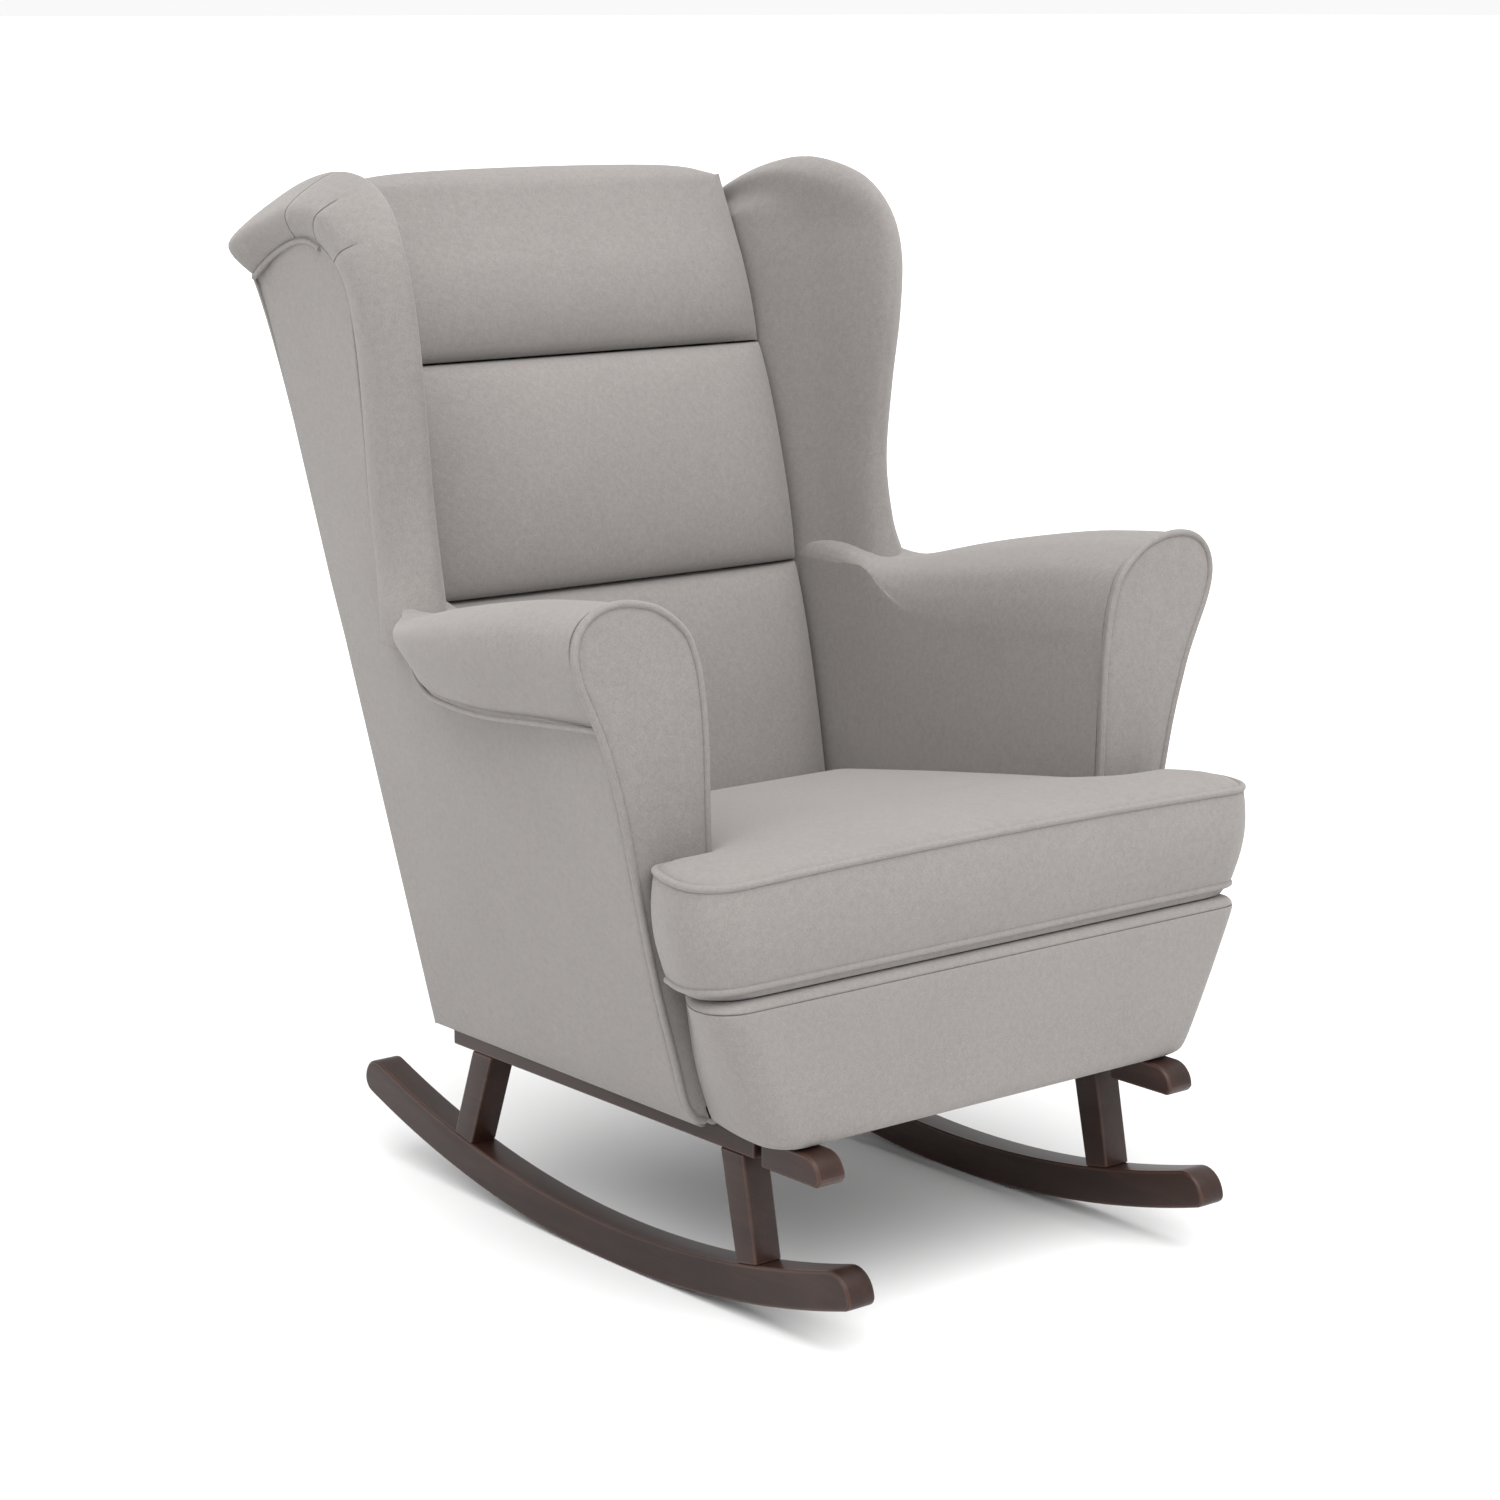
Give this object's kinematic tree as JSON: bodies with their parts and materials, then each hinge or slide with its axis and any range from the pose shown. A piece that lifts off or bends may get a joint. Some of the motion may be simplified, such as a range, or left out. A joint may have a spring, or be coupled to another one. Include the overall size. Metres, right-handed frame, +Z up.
{
  "type": "wing-back rocking chair",
  "caption": "Upholstered wing-back rocking chair with rolled arms, channelled back, loose box seat cushion and curved wooden runners.",
  "frame": {"origin": "middle of the chair's bounding box, on the floor that the runners touch", "axes": "+Z up, +X towards the sitter's left arm, -Y towards the front of the seat"},
  "size_m": [0.784, 0.835, 1.014],
  "materials": {
    "walnut_stain": "satin dark walnut stain",
    "plain_timber": "sawn, unfinished",
    "plywood": "sanded, unfinished",
    "spring_steel": "oiled spring wire",
    "bolt_steel": "zinc plated",
    "webbing": "woven elastic webbing",
    "felt": "needled felt",
    "dust_cloth": "thin non-woven cloth",
    "grey_cloth": "matt fine-woven upholstery cloth"
  },
  "bodies": {
    "chair": {"arm_board_left": "plywood", "arm_board_right": "plywood", "arm_front_left": "grey_cloth", "arm_front_right": "grey_cloth", "arm_pad_left": "grey_cloth", "arm_pad_right": "grey_cloth", "back_lower_rail": "plain_timber", "back_pillow_lower": "grey_cloth", "back_pillow_middle": "grey_cloth", "back_pillow_upper": "grey_cloth", "back_post_left": "plain_timber", "back_post_right": "plain_timber", "back_top_rail": "plain_timber", "back_webbing_1": "webbing", "back_webbing_2": "webbing", "back_webbing_3": "webbing", "base_bolt_front_left": "bolt_steel", "base_bolt_front_right": "bolt_steel", "base_bolt_rear_left": "bolt_steel", "base_bolt_rear_right": "bolt_steel", "base_nose_left": "walnut_stain", "base_nose_right": "walnut_stain", "base_rail_left": "walnut_stain", "base_rail_right": "walnut_stain", "corner_block_left": "plain_timber", "corner_block_right": "plain_timber", "dust_cover": "dust_cloth", "front_apron": "grey_cloth", "apron_board": "plywood", "front_leg_dowel_left": "plain_timber", "front_leg_dowel_right": "plain_timber", "front_leg_left": "walnut_stain", "front_leg_right": "walnut_stain", "outer_back": "grey_cloth", "outer_side_left": "grey_cloth", "outer_side_right": "grey_cloth", "rear_leg_dowel_left": "plain_timber", "rear_leg_dowel_right": "plain_timber", "rear_leg_left": "walnut_stain", "rear_leg_right": "walnut_stain", "runner_left": "walnut_stain", "runner_right": "walnut_stain", "seat_deck": "felt", "seat_ear_block_left": "plain_timber", "seat_ear_block_right": "plain_timber", "seat_front_rail": "plain_timber", "seat_rear_rail": "plain_timber", "seat_side_rail_left": "plain_timber", "seat_side_rail_right": "plain_timber", "seat_spring_1": "spring_steel", "seat_spring_2": "spring_steel", "seat_spring_3": "spring_steel", "seat_spring_4": "spring_steel", "wing_board_left": "plywood", "wing_board_right": "plywood", "wing_left": "grey_cloth", "wing_right": "grey_cloth"},
    "loose_cushion": {"seat_cushion": "grey_cloth"}
  },
  "joints": [
    {"name": "cushion_slide", "type": "slide", "parent": "chair", "child": "loose_cushion", "axis": [0, -0.9942, 0.1074], "range_m": [0, 0.55]}
  ]
}
